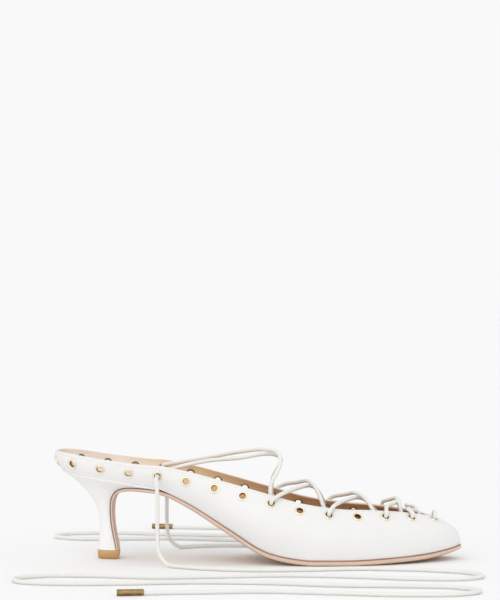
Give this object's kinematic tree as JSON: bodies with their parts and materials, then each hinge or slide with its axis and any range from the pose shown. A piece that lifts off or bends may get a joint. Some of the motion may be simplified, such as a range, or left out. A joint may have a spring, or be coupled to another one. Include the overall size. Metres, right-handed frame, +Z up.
{
  "type": "lace up heel",
  "caption": "White leather kitten heel for the right foot, low cut and laced through eyelets along the collar, with long cord ties lying loose and tan leather sole.",
  "frame": {"origin": "middle of the top piece's tread, on the floor", "axes": "+X from heel to toe, +Y to the inner side of this right foot, +Z up"},
  "size_m": [0.267, 0.3325, 0.0657],
  "materials": {
    "white_leather": "smooth soft leather, low sheen",
    "sole_leather": "smooth sole leather, matte",
    "sock_leather": "lining leather, matte",
    "top_piece_rubber": "matte",
    "pale_brass": "polished pale gold",
    "white_cord": "round braid",
    "tip_metal": "antique gold, knurled"
  },
  "bodies": {
    "root": {"upper": "white_leather", "outsole": "sole_leather", "insole": "sock_leather", "heel": "white_leather", "top_piece": "top_piece_rubber", "eyelet_outer_00": "pale_brass", "eyelet_outer_01": "pale_brass", "eyelet_outer_02": "pale_brass", "eyelet_outer_03": "pale_brass", "eyelet_outer_04": "pale_brass", "eyelet_outer_05": "pale_brass", "eyelet_outer_06": "pale_brass", "eyelet_outer_07": "pale_brass", "eyelet_outer_08": "pale_brass", "eyelet_outer_09": "pale_brass", "eyelet_outer_10": "pale_brass", "eyelet_outer_11": "pale_brass", "eyelet_outer_12": "pale_brass", "eyelet_outer_13": "pale_brass", "eyelet_outer_14": "pale_brass", "eyelet_inner_00": "pale_brass", "eyelet_inner_01": "pale_brass", "eyelet_inner_02": "pale_brass", "eyelet_inner_03": "pale_brass", "eyelet_inner_04": "pale_brass", "eyelet_inner_05": "pale_brass", "eyelet_inner_06": "pale_brass", "eyelet_inner_07": "pale_brass", "eyelet_inner_08": "pale_brass", "eyelet_inner_09": "pale_brass", "eyelet_inner_10": "pale_brass", "eyelet_inner_11": "pale_brass", "eyelet_inner_12": "pale_brass", "eyelet_inner_13": "pale_brass", "eyelet_inner_14": "pale_brass", "lace_bar": "white_cord", "lace_crossing_08_10": "white_cord", "lace_crossing_10_12": "white_cord", "lace_crossing_12_13": "white_cord", "lace_crossing_13_14": "white_cord", "lace_crossing_04_08": "white_cord", "tie_outer": "white_cord", "tie_inner": "white_cord", "tie_tip_outer": "tip_metal", "tie_tip_inner": "tip_metal"}
  },
  "joints": []
}
